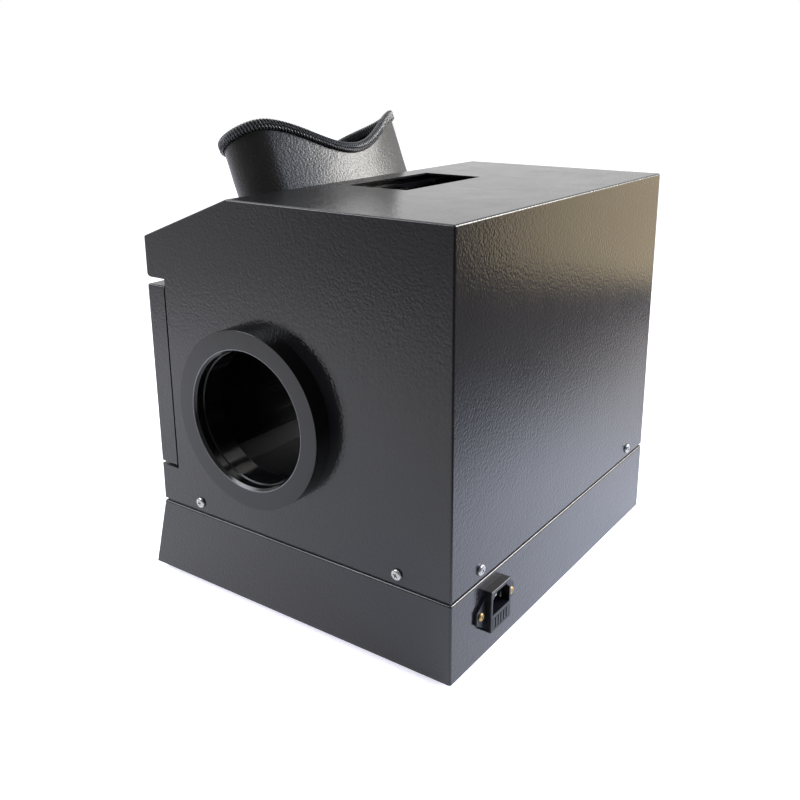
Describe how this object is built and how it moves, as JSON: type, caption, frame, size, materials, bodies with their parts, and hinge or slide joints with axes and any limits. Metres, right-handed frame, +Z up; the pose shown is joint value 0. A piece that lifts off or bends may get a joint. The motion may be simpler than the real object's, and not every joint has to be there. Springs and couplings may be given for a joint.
{
  "type": "gel documentation system",
  "caption": "Benchtop dark cabinet for viewing gels: steel box on a lamp base, slanted viewing hood, rectangular camera port, round hand ports and a drop-down front door.",
  "frame": {"origin": "middle of the footprint, on the bench: half way between the toe of the base and the face of the inlet, and between the two hand-port collars", "axes": "+Z up, -Y towards the user at the door, +X towards the right-hand port as seen by the user"},
  "size_m": [0.344, 0.2888, 0.355],
  "materials": {
    "cabinet_paint": "dark grey powder coat with a fine orange-peel grain",
    "inner_paint": "matt black paint",
    "zinc_plate": "zinc-plated steel",
    "polished_screw": "bright plated steel",
    "collar_plastic": "glossy black turned plastic",
    "knob_plastic": "black plastic",
    "seal_foam": "black foam rubber",
    "magnet_nickel": "nickel plate",
    "hood_leather": "black pebble-grain leatherette",
    "hood_braid": "dark grey ribbed edge trim",
    "uv_blocking_pane": "amber UV-blocking acrylic",
    "filter_bezel": "brushed stainless steel",
    "filter_glass": "dark violet UV-passing glass",
    "reflector_foil": "bright rolled aluminium",
    "tube_glass": "frosted tube glass",
    "tube_cap": "satin aluminium",
    "holder_plastic": "white plastic",
    "ballast_case": "light grey paint",
    "foot_rubber": "black rubber",
    "switch_plastic": "black plastic",
    "rocker_plastic": "black plastic",
    "inlet_plastic": "black moulded plastic",
    "contact_metal": "nickel-plated brass",
    "brass_screw": "brass",
    "fuse_glass": "clear glass with nickel caps"
  },
  "bodies": {
    "cabinet": {"ballasts": "ballast_case", "base_housing": "cabinet_paint", "bottom_plate": "zinc_plate", "cabinet_side_left": "cabinet_paint", "cabinet_side_right": "cabinet_paint", "cabinet_wrap": "cabinet_paint", "chamber_floor": "inner_paint", "door_hinge_fixed_leaf": "zinc_plate", "door_hinge_pin": "zinc_plate", "door_magnets": "magnet_nickel", "door_seal": "seal_foam", "feet_screws": "polished_screw", "filter_frame": "filter_bezel", "front_frame": "cabinet_paint", "front_strip": "cabinet_paint", "hand_port_collar_left": "collar_plastic", "hand_port_collar_right": "collar_plastic", "hand_port_lock_ring_left": "collar_plastic", "hand_port_lock_ring_right": "collar_plastic", "hood_clamp_frame": "inner_paint", "hood_clamp_screws": "polished_screw", "hood_clamp_studs": "zinc_plate", "hood_edge_trim": "hood_braid", "housing_screws": "polished_screw", "inlet_body": "inlet_plastic", "inlet_pins": "contact_metal", "inlet_screws": "brass_screw", "lower_lamp_holders": "holder_plastic", "lower_reflector": "reflector_foil", "lower_tube_caps": "tube_cap", "lower_tube_glass": "tube_glass", "rubber_feet": "foot_rubber", "switch_housing_lower_lamp": "switch_plastic", "switch_housing_power": "switch_plastic", "switch_housing_upper_lamp": "switch_plastic", "upper_filter_glass": "filter_glass", "upper_lamp_holders": "holder_plastic", "upper_lamp_housing": "inner_paint", "upper_tube_caps": "tube_cap", "upper_tube_glass": "tube_glass", "uv_filter_glass": "filter_glass", "viewing_hood": "hood_leather", "viewing_window": "uv_blocking_pane", "window_gasket": "seal_foam"},
    "door": {"front_door": "cabinet_paint", "door_knob": "knob_plastic", "door_knob_screw": "polished_screw", "door_hinge_moving_leaf": "zinc_plate"},
    "rocker_power": {"rocker_power": "rocker_plastic"},
    "rocker_upper_lamp": {"rocker_upper_lamp": "rocker_plastic"},
    "rocker_lower_lamp": {"rocker_lower_lamp": "rocker_plastic"},
    "fuse_drawer": {"fuse_drawer": "inlet_plastic", "fuse": "fuse_glass"}
  },
  "joints": [
    {"name": "door_hinge", "type": "hinge", "parent": "cabinet", "child": "door", "pos_m": [0, -0.12991, 0.097], "axis": [1, 0, 0], "range_deg": [0, 125]},
    {"name": "upper_lamp_switch", "type": "hinge", "parent": "cabinet", "child": "rocker_upper_lamp", "pos_m": [-0.044, -0.13336, 0.03485], "axis": [-1, 0, 0], "range_deg": [0, 14]},
    {"name": "power_switch", "type": "hinge", "parent": "cabinet", "child": "rocker_power", "pos_m": [0, -0.13336, 0.03485], "axis": [-1, 0, 0], "range_deg": [0, 14]},
    {"name": "lower_lamp_switch", "type": "hinge", "parent": "cabinet", "child": "rocker_lower_lamp", "pos_m": [0.044, -0.13336, 0.03485], "axis": [-1, 0, 0], "range_deg": [0, 14]},
    {"name": "fuse_drawer_slide", "type": "slide", "parent": "cabinet", "child": "fuse_drawer", "axis": [0, 1, 0], "range_m": [0, 0.02]}
  ]
}
